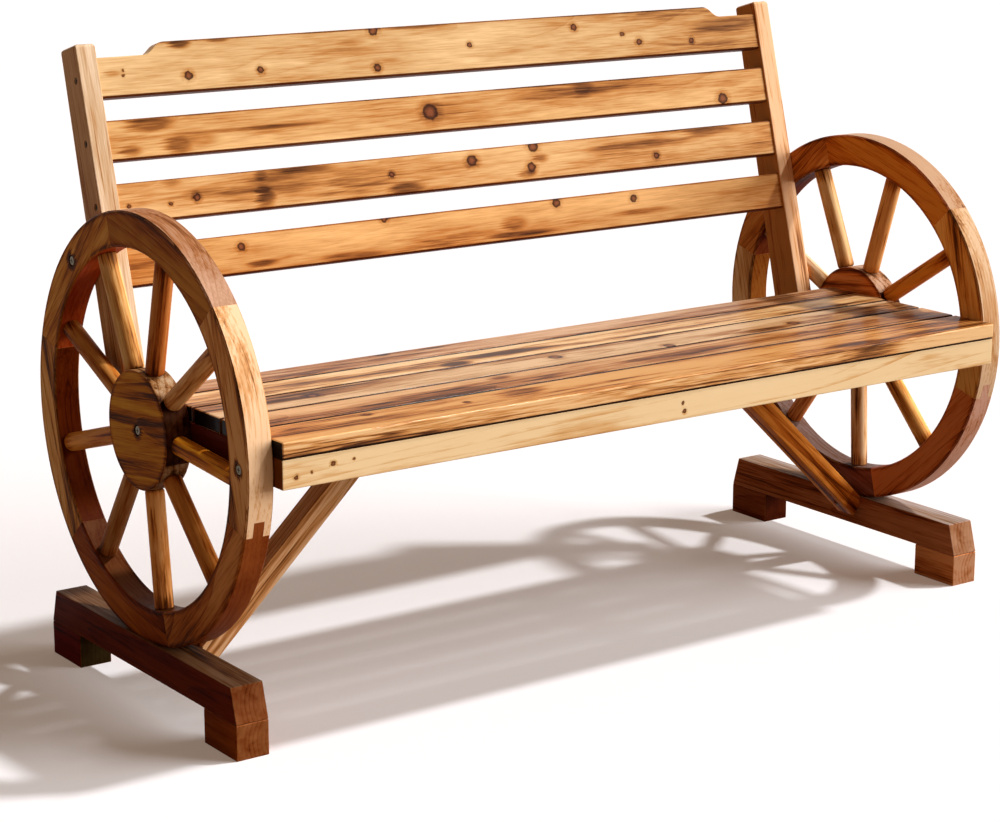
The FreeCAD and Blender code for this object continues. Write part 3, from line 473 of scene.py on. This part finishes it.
# Fasteners: zinc plated cross-slot screws in the wheels, the same gone dull in the frame, and beech dowels
# that hide inside the seat frame. The plating is a grey metal, clouded bright and dull, and the raw beech
# is even, pale and matt.
for node, bright, dark in (("wheel_screws", "#6e634f", "#352d22"), ("frame_screws", "#5d564c", "#38322b")):
    zinc = bpy.data.materials.new(f"{node}_zinc_plated_steel")
    tree = emptied(zinc)
    place = add(tree, "ShaderNodeTexCoord", {})["Object"]
    cloud = add(tree, "ShaderNodeTexNoise", {"Vector": place, "Scale": 600, "Detail": 3})[0]
    dull = add(tree, "ShaderNodeMapRange", {"Value": cloud, 1: 0.3, 2: 0.7, 3: 0.28, 4: 0.5})["Result"]
    tint = add(tree, "ShaderNodeMix", {0: cloud, 6: linear(bright), 7: linear(dark)}, data_type="RGBA")[2]
    shader = add(tree, "ShaderNodeBsdfPrincipled",
                 {"Base Color": tint, "Metallic": 1.0, "Roughness": dull})["BSDF"]
    add(tree, "ShaderNodeOutputMaterial", {"Surface": shader})
    dress(node, zinc)
beech = scorched_fir("raw_beech_dowel", middle_of("frame_dowels"), (0, 1, 0), (0, 0, 1), seed=291,
                     tone="#cfa878", rings=0.15, warmth=0.4, cracks=0.0, scorch=0.0, satin=0.6)
dress("frame_dowels", beech)

# Studio: a white floor that runs past the view on all sides, a soft key lamp high at the right, a wide
# fill lamp low at the front right, and a white surround. The camera stands where the photographer did.


# 1 where the lens sees a surface, straight, mirrored or through glass, and 0 where it only lights others
def seen_by_lens(tree):
    rays = add(tree, "ShaderNodeLightPath", {})
    seen = add(tree, "ShaderNodeMath", {0: rays["Is Camera Ray"], 1: rays["Is Glossy Ray"]},
               operation="MAXIMUM")["Value"]
    return add(tree, "ShaderNodeMath", {0: seen, 1: rays["Is Transmission Ray"]},
               operation="MAXIMUM")["Value"]


bpy.ops.object.select_all(action="DESELECT")
bpy.ops.mesh.primitive_plane_add(size=60, location=(0, 0, 0))
floor = bpy.context.object
floor.name = "studio_floor"
white = bpy.data.materials.new("white_studio_floor")
tree = emptied(white)
shown = seen_by_lens(tree)
lift = add(tree, "ShaderNodeMath", {0: shown, 1: 0.16}, operation="MULTIPLY")["Value"]
tone = add(tree, "ShaderNodeMix", {0: shown, 6: linear("#93806e"), 7: linear("#e9e9ed")},
           data_type="RGBA")[2]
paper = add(tree, "ShaderNodeBsdfDiffuse", {"Color": tone})["BSDF"]
glow = add(tree, "ShaderNodeEmission", {"Color": linear("#ffe4ce"), "Strength": lift})["Emission"]
both = add(tree, "ShaderNodeAddShader", {0: paper, 1: glow})["Shader"]
add(tree, "ShaderNodeOutputMaterial", {"Surface": both})
floor.data.materials.append(white)

world = bpy.data.worlds.new("white_surround")
bpy.context.scene.world = world
tree = emptied(world)
shown = seen_by_lens(tree)
level = add(tree, "ShaderNodeMapRange", {"Value": shown, 1: 0, 2: 1, 3: 0.15, 4: 1.0})["Result"]
air = add(tree, "ShaderNodeMix", {0: shown, 6: linear("#ffd9b8"), 7: linear("#ffffff")}, data_type="RGBA")[2]
sky = add(tree, "ShaderNodeBackground", {"Color": air, "Strength": level})["Background"]
add(tree, "ShaderNodeOutputWorld", {"Surface": sky})

for name, energy, spread, towards in (("key_lamp", 2.4, 4, (0.67, -0.2, 1)),
                                      ("front_fill", 3.65, 40, (0.85, -0.55, 0.35))):
    light = bpy.data.lights.new(name, "SUN")
    light.energy = energy
    light.angle = math.radians(spread)
    lamp = bpy.data.objects.new(name, light)
    bpy.context.scene.collection.objects.link(lamp)
    lamp.rotation_euler = Vector(towards).to_track_quat("Z", "Y").to_euler()

LOOKING_DOWN = math.radians(13.710)
LOOKING_RIGHT = math.radians(35.463)
lens = bpy.data.cameras.new("photo_camera")
lens.sensor_fit = "HORIZONTAL"
lens.sensor_width = 36
lens.lens = 92.574
lens.clip_end = 100
camera = bpy.data.objects.new("photo_camera", lens)
bpy.context.scene.collection.objects.link(camera)
camera.location = (-2.0843, -2.8243, 1.1617)
camera.rotation_euler = (math.pi / 2 - LOOKING_DOWN, 0, -LOOKING_RIGHT)
bpy.context.scene.camera = camera
bpy.context.scene.view_settings.view_transform = "Standard"
